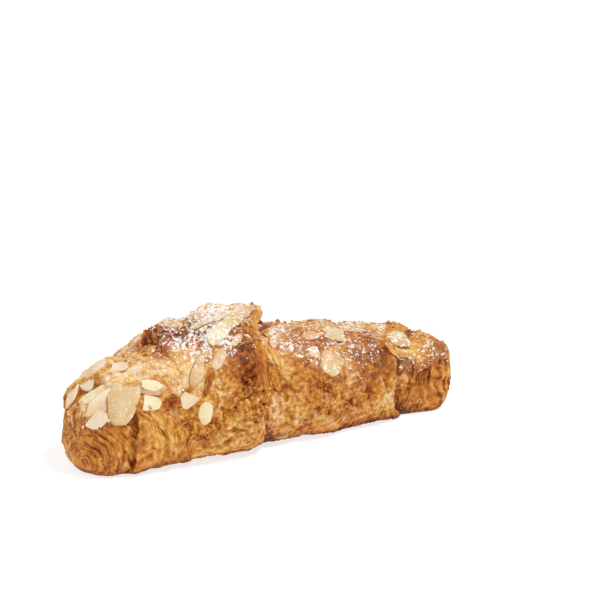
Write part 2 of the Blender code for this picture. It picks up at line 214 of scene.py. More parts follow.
# Sliced almonds: (x, angle, length, width, turn, how toasted, how many degrees the pointed end stands up, how
# much of it is broken off or, below 0, of the round end), where turn goes from along x towards a larger angle
ALMONDS = (
    (-0.058, 140, 0.011, 0.0066, 36, 0.15, 0.0, 0.5),
    (-0.055, 137, 0.0172, 0.0102, 52, 0.48, 9.0, 0.22),
    (-0.058, 180, 0.0125, 0.006, 128, 0.3, 0.0, 0.0),
    (-0.056, 168, 0.013, 0.0055, 121, 0.45, 0.0, 0.0),
    (-0.059, 155, 0.015, 0.0072, 166, 0.25, 4.0, -0.2),
    (-0.064, 143, 0.0084, 0.005, 104, 0.1, 10.0, 0.3),
    (-0.05, 198, 0.0095, 0.0066, 160, 0.25, 0.0, 0.0),
    (-0.048, 175, 0.0095, 0.005, 138, 0.25, 0.0, 0.3),
    (-0.0578, 222, 0.0105, 0.0056, 165, 0.3, 8.0, 0.0),
    (-0.0545, 204, 0.008, 0.0046, 96, 0.4, 0.0, 0.0),
    (-0.0451, 135, 0.0105, 0.004, 140, 0.1, 8.0, 0.2),
    (-0.0488, 121, 0.01, 0.007, 150, 0.15, 0.0, 0.3),
    (-0.015, 192, 0.0115, 0.0055, 110, 0.7, 0.0, 0.3),
    (-0.01, 166, 0.0125, 0.0055, 173, 0.45, 0.0, 0.2),
    (0.0005, 167, 0.015, 0.0072, 14, 0.35, 0.0, 0.2),
    (0.0118, 166, 0.017, 0.008, 42, 0.6, 4.0, 0.2),
    (0.003, 156, 0.017, 0.0076, 36, 0.5, 4.0, 0.0),
    (-0.0085, 147, 0.015, 0.0068, 26, 0.4, 3.0, 0.2),
    (-0.0258, 127, 0.0148, 0.0052, 46, 0.92, 2.0, 0.0),
    (-0.015, 129, 0.0092, 0.0042, 44, 0.5, 0.0, 0.0),
    (-0.0035, 137, 0.008, 0.0032, 34, 0.6, 0.0, 0.0),
    (-0.033, 110, 0.0082, 0.0058, 38, 0.2, 0.0, 0.3),
    (-0.0275, 96, 0.0092, 0.0056, 68, 0.12, 0.0, 0.0),
    (0.0215, 141, 0.0072, 0.0034, 58, 0.45, 0.0, 0.0),
    (0.0415, 144, 0.0108, 0.0056, 16, 0.55, 0.0, 0.3),
    (0.0385, 124, 0.0072, 0.0058, 25, 0.6, 0.0, 0.4),
    (0.0445, 115, 0.0142, 0.0104, 60, 0.74, 3.0, 0.3),
    (0.054, 152, 0.0125, 0.0062, 20, 0.4, 0.0, 0.0),
    (0.051, 143, 0.0145, 0.0062, 169, 0.4, 0.0, 0.3),
    (0.066, 158, 0.0092, 0.005, 171, 0.5, 0.0, 0.0),
    (0.0695, 170, 0.0095, 0.0052, 1, 0.7, 0.0, 0.2),
    (0.0865, 147, 0.0142, 0.009, 12, 0.6, 5.0, 0.25),
    (-0.0464, 133, 0.011, 0.005, 134, 1.0, 0.0, 0.0),
)
# The rest are on the back, strewn by chance over these ranges
BACK_ALMONDS = 16
BACK_X = (-0.042, 0.088)
BACK_ANGLE = (205, 248)
BACK_LENGTH = (0.0090, 0.0150)
BACK_SLIMNESS = (0.50, 0.64)
BACK_TOASTED = 0.45
ALMOND_THICKNESS = 0.0008
ALMOND_SPOKES = 40
ALMOND_RINGS = (0.25, 0.5, 0.75, 0.9, 0.955, 1.0)
SHEET_LIFT = 0.0002  # how far a slice or flake lies over the crust
ON_BUMPS = 62  # percentage of the crust beneath it that it clears
FELT = ((0.0, 1), (0.5, 8), (0.95, 16))  # where it feels for the crust: (share of its size, places round)
MOST_BENT = (-25, 4)  # how far it follows the crust's curve, down and up

# Larger flakes of dough: (x, angle, length, width, turn, how much darker than around it, how many degrees its
# long edge stands up)
FLAKES = (
    (0.086, 139, 0.018, 0.012, 174, -0.1, 3.0),
    (0.0815, 129, 0.012, 0.006, 162, -0.22, 8.0),
    (-0.0225, 117, 0.011, 0.0034, 50, 0.2, 8.0),
    (-0.0508, 111, 0.012, 0.0026, 112, 0.15, 6.0),
    (-0.0468, 102, 0.015, 0.0028, 112, 0.0, 8.0),
    (-0.043, 88, 0.011, 0.0026, 104, 0.05, 8.0),
    (-0.014, 193, 0.012, 0.0056, 115, -0.15, 3.0),
    (-0.019, 165, 0.006, 0.003, 148, 0.1, 6.0),
    (0.0215, 150, 0.008, 0.003, 96, -0.1, 4.0),
    (0.0175, 124, 0.01, 0.003, 92, -0.1, 4.0),
    (0.015, 106, 0.012, 0.0048, 106, -0.04, -9.0),
)
# and the small ones
FLAKE_PLACES = 700
FLAKE_LENGTH = (0.0035, 0.0080)
FLAKE_WIDTH = (0.0012, 0.0026)
FLAKE_THICKNESS = 0.00030
FLAKE_SPOKES = 18
FLAKE_RINGS = (0.45, 0.9, 1.0)

# Crumbs and sugar
SCATTER_X = (-0.066, 0.110)
SCATTER_ANGLE = (45, 315)
CRUMB_PLACES = 12000
CRUMB_SIZE = (0.0008, 0.0021)
CRUMB_SUNK = 0.70
SUGAR_PLACES = 16000
SUGAR_SIZE = (0.00035, 0.00095)
SUGAR_SUNK = 0.30
CLOT_SIZE = 0.0005
RAY_START = 0.09  # distance from the roll's line, outside everything

# Seeds of what lies by chance
ALMOND_SEED = 21
BACK_SEED = 2222
SUGAR_SEED = 31
CRUMB_SEED = 41
FLAKE_SEED = 51

# The view, and the lights: (name, azimuth, elevation, size, power)
CAMERA_AIM = (0.0185, -0.0042, 0.0540)
CAMERA_DISTANCE = 0.594
CAMERA_AZIMUTH = -33.10
CAMERA_ELEVATION = 12.74
FOCAL_LENGTH = 85
LIGHTS = (("key", 20, 62, 0.26, 8.4), ("fill", -120, 40, 0.5, 3.0))
LIGHT_AIM = (0, 0, 0.03)
LIGHT_DISTANCE = 1.2
WORLD_STRENGTH = 0.40
FLOOR_REACH = 30
FLOOR_GLOW = (0.3, 2.0, 0.74, 0.90)  # from this far out to that: from this strong to that


# ---------------------------------------------------------------- numbers


def lattice(cell, seed):
    """A repeatable random number from -1 to 1 for each whole-number cell (..., 3)."""
    mixed = (cell * (374761393, 668265263, 2147483647)).sum(-1) + seed * 1274126177
    mixed &= 0xFFFFFFFF
    for shift, factor in ((13, 1274126177), (16, 1540483477)):
        mixed = ((mixed ^ (mixed >> shift)) * factor) & 0xFFFFFFFF
    return ((mixed ^ (mixed >> 15)) & 0xFFFFFF) / 0xFFFFFF * 2 - 1


def noise(points, size, seed):
    """Smooth noise from -1 to 1 at points (..., 3), with lumps about size across."""
    place = points / size
    cell = np.floor(place).astype(np.int64)
    part = place - cell
    part = part**3 * (part * (part * 6 - 15) + 10)
    total = 0
    for corner in np.ndindex(2, 2, 2):
        share = np.where(np.array(corner) == 1, part, 1 - part).prod(-1)
        total = total + share * lattice(cell + np.array(corner), seed)
    return total


def fractal(points, size, seed, octaves=3):
    """Noise with finer noise on it, from about -1 to 1."""
    total = 0
    for octave in range(octaves):
        total = total + noise(points, size / 2**octave, seed + 31 * octave) / 2**octave
    return total / 1.5


def crumbs(points, size, seed):
    """Close-packed rounded crumbs about size across: 1 at the top of each, 0 between them."""
    place = points / size
    home = np.floor(place).astype(np.int64)
    nearest = np.full(points.shape[:-1], 9.0)
    for step in np.ndindex(3, 3, 3):
        cell = home + np.array(step) - 1
        away = 0
        for axis in range(3):
            centre = cell[..., axis] + 0.5 + 0.42 * lattice(cell, seed + axis)
            away = away + (place[..., axis] - centre) ** 2
        nearest = np.minimum(nearest, away)
    return np.clip(1 - nearest / 0.6, 0, 1) ** 0.5


def ramp(value, low, high):
    """0 up to low, 1 from high, and smooth between."""
    t = np.clip((value - low) / (high - low), 0, 1)
    return t * t * (3 - 2 * t)


# ---------------------------------------------------------------- form


def spine(x):
    """The roll's line at x: its y, its height, and the level direction across it, pointing back."""
    reach = np.where(x < BEND_MIDDLE, LEFT_ARM[-1].edge + BEND_MIDDLE, RIGHT_ARM[-1].edge - BEND_MIDDLE)
    away = (x - BEND_MIDDLE) / reach
    slope = -2 * BEND * away / reach
    length = np.hypot(1, slope)
    across = np.stack([-slope / length, 1 / length, np.zeros_like(x)], -1)
    return -BEND * away**2, LINE_HEIGHT - LINE_DROP * away**2, across


def edge_lean(turn, angle):
    """How much further out than on top a turn's edge runs at each angle."""
    lean = turn.front * np.clip(np.sin(angle), 0, 1) + turn.back * np.clip(-np.sin(angle), 0, 1)
    return lean + turn.waver * np.sin(WAVES * angle + turn.edge / turn.shoulder)


def section(turn, out, angle, line_height):
    """How far a turn's surface is from the roll's line at a distance out along its arm."""
    along = out / turn.edge
    half_width = turn.inner[0] + (turn.outer[0] - turn.inner[0]) * along
    height = turn.inner[1] + (turn.outer[1] - turn.inner[1]) * along
    upper = np.cos(angle) < 0
    power = np.where(upper, TOP_POWER, BASE_POWER)
    reach = np.where(upper, height - line_height, line_height + UNDERSIDE)
    level = np.abs(np.sin(angle)) / half_width
    upright = np.abs(np.cos(angle)) / reach
    return (level**power + upright**power) ** (-1 / power)


def rounded(distance, length, power):
    """A rounded rise from 0 at distance 0 to 1 at the given length."""
    left = np.clip(1 - distance / length, 0, 1)
    return np.clip(1 - left**power, 0, 1) ** (1 / power)


def turn_radius(turn, out, angle, line_height):
    """A turn's radius, which falls to 0 at its edge."""
    fall = rounded(turn.edge + edge_lean(turn, angle) - out, turn.shoulder, SHOULDER_POWER)
    return section(turn, out, angle, line_height) * fall


def plain_radius(x, angle):
    """The radius of the whole croissant without its relief."""
    line_height = spine(x)[1]
    radius = np.zeros(np.broadcast(x, angle).shape)
    for left_turn, right_turn in zip(LEFT_ARM, RIGHT_ARM):
        left = turn_radius(left_turn, -x, angle, line_height)
        right = turn_radius(right_turn, x, angle, line_height)
        radius = np.maximum(radius, np.where(x < 0, left, right))
    return radius


def place_at(x, angle, radius):
    """The point at a radius from the roll's line, and the direction outwards."""
    y, line_height, across = spine(x)
    line = np.stack([x, y, line_height], -1)
    outwards = -across * np.sin(angle)[..., None]
    outwards[..., 2] -= np.cos(angle)
    return line + outwards * radius[..., None], outwards


def cream(points, x, angle):
    """Where the almond cream lies: 1 on it and 0 off it."""
    degrees = np.degrees(angle) + CREAM_UNEVEN * noise(points, 0.009, 7)
    front = np.interp(x, CREAM_PLACES, CREAM_FRONT)
    back = np.interp(x, CREAM_PLACES, CREAM_BACK)
    return ramp(np.minimum(degrees - front, back - degrees), 0, CREAM_EDGE)


def spots(x, angle, places):
    """The sum of soft round spots (x, angle in degrees, radius, strength)."""
    total = np.zeros(x.shape)
    for spot_x, degrees, radius, strength in places:
        away = np.hypot(x - spot_x, (angle - np.radians(degrees)) * ROLL_RADIUS) / radius
        total = total + strength * np.exp(-(away**2) * 1.5)
    return total


def cream_relief(points, x, angle):
    """The height of the baked almond cream, how deep each point is in its pits, which the colour darkens as
    painted shade, and where it is rough.
    """
    warp = np.stack([noise(points, 0.005, seed) for seed in (41, 42, 43)], -1) * 0.0020
    chunky = crumbs(points + warp, 0.0044, 50)
    small = crumbs(points + warp * 0.6, 0.0019, 60)
    grit = fractal(points + warp * 0.3, 0.0013, 61, 2)
    rough = ramp(0.5 * fractal(points, 0.013, 45) + 0.8 * spots(x, angle, ROUGH), 0.0, 0.7)
    broken = 0.20 + 0.35 * ramp(fractal(points, 0.010, 46, 2), -0.5, 0.4) + 0.45 * rough
    calm = ramp(points[..., 2], 0.002, 0.012)
    height = 0.0008 * fractal(points, 0.0080, 44, 2) + 0.0008 * broken * grit
    height = height + calm * (rough * 0.0028 * (chunky - 0.62) + broken * 0.0012 * (small - 0.62))
    # Painted shade: the colour darkens in the pits between and below the crumbs.
    shaded_pits = broken * (0.5 - 0.6 * small) - 0.20 * grit + rough * (0.7 - 0.9 * chunky)
    return height * (1 - 0.85 * beneath_almonds(x, angle)), shaded_pits, rough


def swirl_layers(points, centre, axis):
    """Layers wound round an end of the roll, counted from its middle, and how near that end is."""
    axis = np.array(axis) / np.linalg.norm(axis)
    away = points - np.array(centre)
    flat = away - (away @ axis)[..., None] * axis
    near = 1 - ramp(np.linalg.norm(away, axis=-1), 0.018, 0.028)
    return np.linalg.norm(flat, axis=-1) / LAYER_PITCH, near


def dough_layers(points, angle, from_edge):
    """The bare dough's layers, counted across them, and how strongly they show."""
    layers = from_edge / LAYER_PITCH + LAYER_SLANT * angle
    layers = layers + 0.2 * np.sin(1.7 * layers) + 0.15 * noise(points, 0.0013, 79)
    strength = 0.55 + 0.45 * (1 - ramp(from_edge, 0.003, 0.010))
    for centre, axis in ((LEFT_SWIRL, LEFT_AXIS), (RIGHT_SWIRL, RIGHT_AXIS)):
        wound, near = swirl_layers(points, centre, axis)
        layers = layers + (wound - layers) * near
        strength = np.maximum(strength, 1.8 * near)
    return layers + 1.0 * fractal(points, 0.020, 70, 2) + 0.25 * noise(points, 0.0035, 73), strength


def folds(x, angle):
    """The rise of the dough towards the edges that stand off it, and how near each point is to their feet,
    which the colour darkens as painted shade under the edges.
    """
    rise = np.zeros(x.shape)
    foot = np.zeros(x.shape)
    for x_from, from_degrees, x_to, to_degrees, height, reach in FOLDS:
        over, round_roll = x - x_from, (angle - np.radians(from_degrees)) * ROLL_RADIUS
        line = np.array([x_to - x_from, np.radians(to_degrees - from_degrees) * ROLL_RADIUS])
        length = np.linalg.norm(line)
        along = (over * line[0] + round_roll * line[1]) / length**2
        aside = np.sign(-line[1]) * (over * -line[1] + round_roll * line[0]) / length
        within = ramp(along, -0.05, 0.15) * (1 - ramp(along, 0.85, 1.05))
        rise += height * within * ramp(aside, -0.0005, 0.0003) * np.exp(-np.clip(aside, 0, None) / reach)
        # Painted shade: the colour darkens along the foot of each fold, under its edge.
        foot = np.maximum(foot, within * np.exp(-(((aside + 0.0006) / 0.0007) ** 2)))
    return rise, foot


def dough_relief(points, layers, strength):
    """The height of the bare layered dough, and how deep each point is between its layers, which the colour
    darkens as painted shade.
    """
    patchy = strength * ramp(noise(points, 0.0060, 75) + 0.4 * noise(points, 0.0025, 76), -0.6, 0.4)
    step = layers - np.floor(layers)
    finer = layers * 2.6 + 0.8 * noise(points, 0.003, 74)
    finer = finer - np.floor(finer)
    shingle = step - ramp(step, 0.75, 1.0)
    blisters = fractal(points, 0.0065, 85)
    grain = fractal(points, 0.0016, 86, 2)
    height = 0.0010 * (shingle - 0.35) * patchy + 0.0003 * (finer - ramp(finer, 0.7, 1.0)) * strength
    # Painted shade: the colour darkens in the steps between the layers and in the hollows.
    shaded_pits = patchy * np.exp(-(((step - 0.92) / 0.12) ** 2)) - 0.25 * blisters - 0.2 * grain
    return height + 0.0008 * blisters + 0.0002 * grain, shaded_pits


def browning_and_shade(points, x, angle):
    """How dark the crust is baked, with painted shadow from some of the dark spots."""
    uneven = 0.12 * fractal(points, 0.018, 90) + 0.06 * fractal(points, 0.0050, 92, 2)
    return 0.34 + uneven + spots(x, angle, BAKED_AND_SHADED)


def relief(points, x, angle, from_edge, covered, beyond, rim):
    """The height of the crust over the plain form, and the vertex attributes that colour it, with painted
    shade in pits, grooves and under folds.
    """
    lumps = 0
    for seed, (rise, size) in enumerate(LUMPS):
        lumps = lumps + rise * noise(points, size, seed)
    bare = 1 - covered
    crumbly, cream_pit_shade, rough = cream_relief(points, x, angle)
    layers, strength = dough_layers(points, angle, from_edge)
    layered, dough_pit_shade = dough_relief(points, layers, strength)
    folded, fold_foot_shade = folds(x, angle)
    height = lumps + spots(x, angle, KNOBS) + covered * (CREAM_THICKNESS + crumbly)
    height = height + bare * (1 - 0.7 * rim) * layered + folded
    foot = 1 - ramp(points[..., 2] + 0.0015 * noise(points, 0.008, 91), 0.0004, 0.0045)
    # The groove along the foot of the turn before is partly darker bake and partly painted shade in its
    # recess.
    groove_bake_and_shade = np.exp(-((beyond / GROOVE_SHADE_WIDTH) ** 2))
    bake_and_shade = browning_and_shade(points, x, angle) + 0.35 * foot + 0.4 * groove_bake_and_shade + 0.1 * fold_foot_shade
    # Painted shade: pits and the folds' feet darken the colour where shade falls.
    shaded_pits = covered * cream_pit_shade + bare * dough_pit_shade * (1 - rim) + 0.4 * fold_foot_shade
    glaze = covered * (0.30 - 0.3 * rough + spots(x, angle, GLAZED)) + rim
    dust = dusting(points, x, angle) * (0.15 + 0.85 * covered)
    return height, crust_colours(bake_and_shade, dust, layers, covered, shaded_pits, glaze)


def crust_colours(bake_and_shade, dust, layer, cream=0.0, pit_shade=0.0, glaze=0.0):
    """The vertex attributes that colour the crust, painted shade in pits, grooves and under folds among them.
    """
    colours = {
        "cream": cream,
        "bake_and_shade": np.clip(bake_and_shade, 0, 1),
        "pit_shade": np.clip(pit_shade, 0, 1),
        "glaze": np.clip(glaze, 0, 1),
        "dust": dust,
        "layer": layer,
    }
    return {key: np.broadcast_to(values, bake_and_shade.shape) for key, values in colours.items()}


def all_almonds():
    """The places of all the almonds, the ones on the back by chance."""
    chance = np.random.default_rng(BACK_SEED)
    places = list(ALMONDS)
    for x in np.linspace(*BACK_X, BACK_ALMONDS):
        length = chance.uniform(*BACK_LENGTH)
        width = length * chance.uniform(*BACK_SLIMNESS)
        turn, broken = chance.uniform(0, 180), chance.choice((0.0, 0.0, 0.3, -0.3))
        angle = chance.uniform(*BACK_ANGLE)
        places.append((x, angle, length, width, turn, BACK_TOASTED, 0.0, broken))
    return places


def beneath_almonds(x, angle):
    """1 where an almond lies and 0 elsewhere."""
    most = np.zeros(x.shape)
    for almond_x, degrees, length, width, turn in (place[:5] for place in all_almonds()):
        over = x - almond_x
        round_roll = (angle - np.radians(degrees)) * ROLL_RADIUS
        along = over * np.cos(np.radians(turn)) + round_roll * np.sin(np.radians(turn))
        aside = round_roll * np.cos(np.radians(turn)) - over * np.sin(np.radians(turn))
        away = np.hypot(along / (length / 2), aside / (width / 2))
        most = np.maximum(most, 1 - ramp(away, 0.9, 1.3))
    return most


def dusting(points, x, angle):
    """How thickly icing sugar lies. The step behind the thickest turn is sheltered from it."""
    degrees = np.degrees(angle)
    lower = 25 * ramp(x, 0.022, 0.032)
    top = ramp(degrees, 112 - lower, 146 - 0.5 * lower) * (1 - ramp(degrees, 215, 245))
    middle = ramp(x, -0.045, -0.018) * (1 - 0.45 * ramp(x, 0.024, 0.030)) * (1 - ramp(x, 0.085, 0.120))
    patches = ramp(fractal(points, 0.014, 95), -0.35, 0.45)
    beyond = x - RIGHT_ARM[0].edge - edge_lean(RIGHT_ARM[0], angle)
    sheltered = np.exp(-(((beyond - 0.0015) / 0.0035) ** 2))
    thick = 1.4 * top * (0.2 + 0.8 * middle) * (0.45 + 0.55 * patches) + top * spots(x, angle, SUGARED)
    return np.clip(thick * (1 - 0.9 * sheltered), 0, 1)


# ---------------------------------------------------------------- meshes


def spoke_angles(count):
    """Angles round the roll, closer together where the dough shows than underneath."""
    fine = np.linspace(0, 2 * np.pi, 3601)
    from_below = np.degrees(np.minimum(fine, 2 * np.pi - fine))
    weight = 0.25 + 0.75 * ramp(from_below, 25, 55)
    travelled = np.concatenate([[0], np.cumsum((weight[1:] + weight[:-1]) / 2)])
    return np.interp(np.arange(count) / count * travelled[-1], travelled, fine)


def new_object(name, data):
    """A new object in the scene."""
    obj = bpy.data.objects.new(name, data)
    bpy.context.scene.collection.objects.link(obj)
    return obj


def mesh_object(name, points, faces, attributes, material):
    """A smooth-shaded object on the croissant, moved into the CAD frame."""
    points = points - np.array(ORIGIN)
    mesh = bpy.data.meshes.new(name)
    mesh.vertices.add(len(points))
    mesh.vertices.foreach_set("co", points.astype(np.float32).ravel())
    sides = faces.shape[1]
    mesh.loops.add(faces.size)
    mesh.loops.foreach_set("vertex_index", faces.astype(np.int32).ravel())
    mesh.polygons.add(len(faces))
    mesh.polygons.foreach_set("loop_start", np.arange(0, faces.size, sides, dtype=np.int32))
    mesh.update(calc_edges=True)
    mesh.validate()
    for key, values in attributes.items():
        layer = mesh.attributes.new(key, "FLOAT", "POINT")
        layer.data.foreach_set("value", values.astype(np.float32).ravel())
    mesh.shade_smooth()
    mesh.materials.append(material)
    obj = new_object(name, mesh)
    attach(obj, "root")
    return obj


def tube_faces(rows, spokes):
    """Quads of a grid that closes round its spokes."""
    row, spoke = np.meshgrid(np.arange(rows - 1), np.arange(spokes), indexing="ij")
    after = (spoke + 1) % spokes
    here, beyond = row * spokes, (row + 1) * spokes
    return np.stack([here + spoke, here + after, beyond + after, beyond + spoke], -1).reshape(-1, 4)


def uneven_edge(turn, side, angles):
    """Where a turn's edge runs, with its finer unevenness."""
    place = turn.edge + edge_lean(turn, angles)
    ring = np.stack([np.cos(angles), np.sin(angles), np.full(angles.shape, side * turn.edge * 300)], -1)
    ragged = 0.0007 * noise(ring, 0.25, 3) + 0.0004 * noise(ring, 0.09, 4)
    return place - EDGE_INSET + ragged


def lip_rows(turn, side, angles, covered):
    """Rows that round a turn's edge off and close it beneath: how far out each is, and how far it drops."""
    edge = uneven_edge(turn, side, angles)
    length = LIP_LENGTH + BRIDGE_LENGTH * turn.bridged * covered
    ring = np.stack([np.cos(angles), np.sin(angles), np.zeros(angles.shape)], -1)
    drop = turn.lip * (1 + 0.3 * noise(ring, 0.5, 9))
    outs, drops = [], []
    for turned in np.linspace(0, np.pi / 2, LIP_ROWS):
        outs.append(edge - length * (1 - np.sin(turned)))
        drops.append(drop * (1 - np.cos(turned)))
    under = 1 - turn.bridged * covered
    for inwards, deeper in UNDER_LIP:
        outs.append(edge - inwards * under)
        drops.append(drop + deeper)
    return outs, drops


def main_rows(start, end):
    """Rows from start to end, PITCH apart."""
    count = max(2, int(np.ceil(np.max(end - start) / PITCH)))
    return [start + (end - start) * k / count for k in range(count)]


def turn_rows(turn, side, start, angles):
    """The rows of one turn, from its start beneath the turn before it to its edge."""
    if turn.is_tip:
        end = np.full(SPOKES, turn.edge - NOSE)
        steps = 1 - np.cos(np.arange(1, NOSE_ROWS) / NOSE_ROWS * np.pi / 2)
        tail = [end + NOSE * (1 - step) for step in reversed(steps)]
        outs = main_rows(start, end) + [end] + tail
        drops = [np.zeros(SPOKES)] * len(outs)
    else:
        x = side * (turn.edge + edge_lean(turn, angles))
        edge_points = place_at(x, angles, section(turn, turn.edge, angles, spine(x)[1]))[0]
        tail, lip_drops = lip_rows(turn, side, angles, cream(edge_points, x, angles))
        outs = main_rows(start, tail[0])
        drops = [np.zeros(SPOKES)] * len(outs) + lip_drops
        outs = outs + tail
    return outs, drops


def bare_rim(turn, plain, angle, from_edge):
    """How bare a turn is along its edge, and how far the cream has set in behind that, from 0 to 1."""
    if turn.bridged or turn.is_tip:
        return np.zeros(angle.shape), 1.0
    degrees = np.degrees(angle)
    width = RIM * ramp(degrees, 92, 108) + 0.0020 * noise(plain, 0.007, 12)
    behind = ramp(from_edge, width, width + RIM_END)
    return (1 - behind) * ramp(degrees, 85, 105), behind


def turn_surface(turn, side, outs, drops, angles, before):
    """Points and colours of the rows of one turn. The turn before it ends at before."""
    out = np.array(outs)
    x = side * out
    angle = np.broadcast_to(angles, x.shape)
    line_height = spine(x)[1]
    radius = section(turn, out, angle, line_height)
    from_edge = turn.edge + edge_lean(turn, angles) - out
    if turn.is_tip:
        radius = radius * rounded(turn.edge - out, NOSE, SHOULDER_POWER)
    radius = np.maximum(radius - np.array(drops), LEAST_RADIUS)
    plain, outwards = place_at(x, angle, radius)
    rim, behind = bare_rim(turn, plain, angle, from_edge)
    covered = cream(plain, x, angle) * behind
    if turn is LEFT_ARM[0]:
        # It goes on into the right arm, and its layers are counted from the edge there
        from_edge = RIGHT_ARM[0].edge + edge_lean(RIGHT_ARM[0], angle) + out
    height, colours = relief(plain, x, angle, from_edge, covered, out - before, rim)
    from_below = np.degrees(np.minimum(angle, 2 * np.pi - angle))
    fade = np.clip(radius / TIP_CALM, 0, 1) * (0.12 + 0.88 * ramp(from_below, *BASE_CALM))
    points = plain + outwards * (height * fade)[..., None]
    points[..., 2] = np.maximum(points[..., 2], 0)
    return points, colours


def close_ends(points, colours):
    """Add a centre point to the first and the last row. Gives flat arrays and the faces."""
    rows, spokes = points.shape[:2]
    faces = tube_faces(rows, spokes)
    flat = points.reshape(-1, 3)
    caps = []
    for row, end in ((0, 0), (rows - 1, 1)):
        centre = len(flat) + end
        first = row * spokes + np.arange(spokes)
        after = row * spokes + (np.arange(spokes) + 1) % spokes
        order = (after, first) if end == 0 else (first, after)
        caps.append(np.stack([order[0], order[1], np.full(spokes, centre)], -1))
    centres = np.stack([points[0].mean(0), points[-1].mean(0)])
    flat = np.concatenate([flat, centres])
    grown = {}
    for key, values in colours.items():
        grown[key] = np.concatenate([values.ravel(), [values[0].mean(), values[-1].mean()]])
    split = np.concatenate([faces[:, [0, 1, 2]], faces[:, [0, 2, 3]], *caps])
    return flat, split, grown


def one_turn(arm, number, side, angles):
    """Points and colours of one turn of an arm."""
    turn = arm[number]
    start = np.zeros(SPOKES)
    before = np.full(SPOKES, NO_GROOVE)
    if number:
        inner = arm[number - 1]
        inner_edge = inner.edge + edge_lean(inner, angles)
        start = np.maximum(inner_edge - OVERLAP - inner.shoulder * 0.5, 0.001)
        if not inner.bridged:
            before = inner_edge
    outs, drops = turn_rows(turn, side, start, angles)
    return turn_surface(turn, side, outs, drops, angles, before)


def add_turns(material):
    """All turns of dough. The thickest one spans both arms."""
    objects = []
    angles = spoke_angles(SPOKES)
    for side, arm, label in ((-1, LEFT_ARM, "left"), (1, RIGHT_ARM, "right")):
        for number in range(1, len(arm)):
            points, faces, colours = close_ends(*one_turn(arm, number, side, angles))
            if side < 0:
                faces = faces[:, ::-1]
            objects.append(mesh_object(f"{label}_turn_{number}", points, faces, colours, material))
    left, left_colours = one_turn(LEFT_ARM, 0, -1, angles)
    right, right_colours = one_turn(RIGHT_ARM, 0, 1, angles)
    points = np.concatenate([left[:0:-1], right])
    colours = {}
    for key, values in left_colours.items():
        colours[key] = np.concatenate([values[:0:-1], right_colours[key]])
    objects.append(mesh_object("middle_turn", *close_ends(points, colours), material))
    return objects


# ---------------------------------------------------------------- what lies on the crust


def touch(x, angle):
    """Where the crust is met from outside at each place, and its normal there."""
    depsgraph = bpy.context.evaluated_depsgraph_get()
    x, angle = np.broadcast_arrays(np.asarray(x, float), np.asarray(angle, float))
    far, outwards = place_at(x, angle, np.full(x.shape, RAY_START))
    met = np.zeros(far.shape)
    normals = np.zeros(far.shape)
    for index in np.ndindex(x.shape):
        start = far[index] - ORIGIN
        hit, point, normal, *_ = bpy.context.scene.ray_cast(depsgraph, start, -outwards[index])
        met[index] = np.array(point) + ORIGIN if hit else far[index] - RAY_START * outwards[index]
        normals[index] = normal if hit else outwards[index]
    return met, normals


def tangents(x, angle):
    """Unit directions along the roll, round it and outwards, and the radius of the plain form there."""
    radius = plain_radius(x, angle)
    along = place_at(x + 0.001, angle, radius)[0] - place_at(x - 0.001, angle, radius)[0]
    around = place_at(x, angle + 0.02, radius)[0] - place_at(x, angle - 0.02, radius)[0]
    outwards = np.cross(along, around)
    outwards /= np.linalg.norm(outwards)
    along /= np.linalg.norm(along)
    return along, np.cross(outwards, along), outwards, float(radius)


def almond_outline(length, width, broken, chance):
    """The outline of a slice: round at one end and pointed at the other, a little uneven, perhaps broken."""
    t = np.arange(ALMOND_SPOKES) / ALMOND_SPOKES * 2 * np.pi
    s = np.cos(t)
    pointed = chance.uniform(0.55, 0.85)
    profile = np.where(s > 0, (1 - np.abs(s) ** 1.9) ** pointed, (1 - np.abs(s) ** 2.3) ** 0.5)
    uneven = 1
    for waves, most in ((2, 0.05), (3, 0.035), (5, 0.03), (9, 0.015)):
        uneven = uneven + most * np.sin(waves * t + chance.uniform(0, 6))
    v = np.sign(np.sin(t)) * width / 2 * profile * uneven
    lean = chance.uniform(-0.3, 0.3) * v
    if broken > 0:
        s = np.minimum(s, 1 - 2 * broken + lean / width)
    if broken < 0:
        s = np.maximum(s, -1 - 2 * broken + lean / width)
    return np.stack([s * length / 2 * uneven, v], -1)


def flake_outline(length, width, chance):
    """The ragged outline of a flake of dough."""
    t = np.arange(FLAKE_SPOKES) / FLAKE_SPOKES * 2 * np.pi
    c, s = np.cos(t), np.sin(t)
    reach = (np.abs(c) ** 3 + np.abs(s) ** 3) ** (-1 / 3) * chance.uniform(0.75, 1.1, FLAKE_SPOKES)
    taper = 1 + chance.uniform(-0.35, 0.35) * c
    return np.stack([c * reach * length / 2, s * reach * taper * width / 2], -1)


def rest_on_crust(x, angle, length, width, turn, chance):
    """A sheet's directions and its height over them: it bends with the crust and lies on its bumps."""
    along, around, outwards, radius = tangents(np.float64(x), np.float64(angle))
    c, s = np.cos(np.radians(turn)), np.sin(np.radians(turn))
    rings = np.repeat(*zip(*FELT))
    round_ring = np.concatenate([np.arange(count) / count for _, count in FELT]) * 2 * np.pi
    u = rings * np.cos(round_ring) * length / 2
    v = rings * np.sin(round_ring) * width / 2
    met, _ = touch(x + u * c - v * s, angle + (u * s + v * c) / radius)
    here = met[0]
    long_way = along * c + around * s
    wide_way = np.cross(outwards, long_way)
    away = met - here
    u, v, rise = away @ long_way, away @ wide_way, away @ outwards
    terms = np.stack([np.ones_like(u), u, v, u * u, v * v], -1)
    fitted = np.linalg.lstsq(terms, rise, rcond=None)[0]
    fitted[3:] = np.clip(fitted[3:], *MOST_BENT) * chance.uniform(0.8, 1.05, 2)
    fitted[0] += np.percentile(rise - terms @ fitted, ON_BUMPS)
    return here, (long_way, wide_way, outwards), fitted


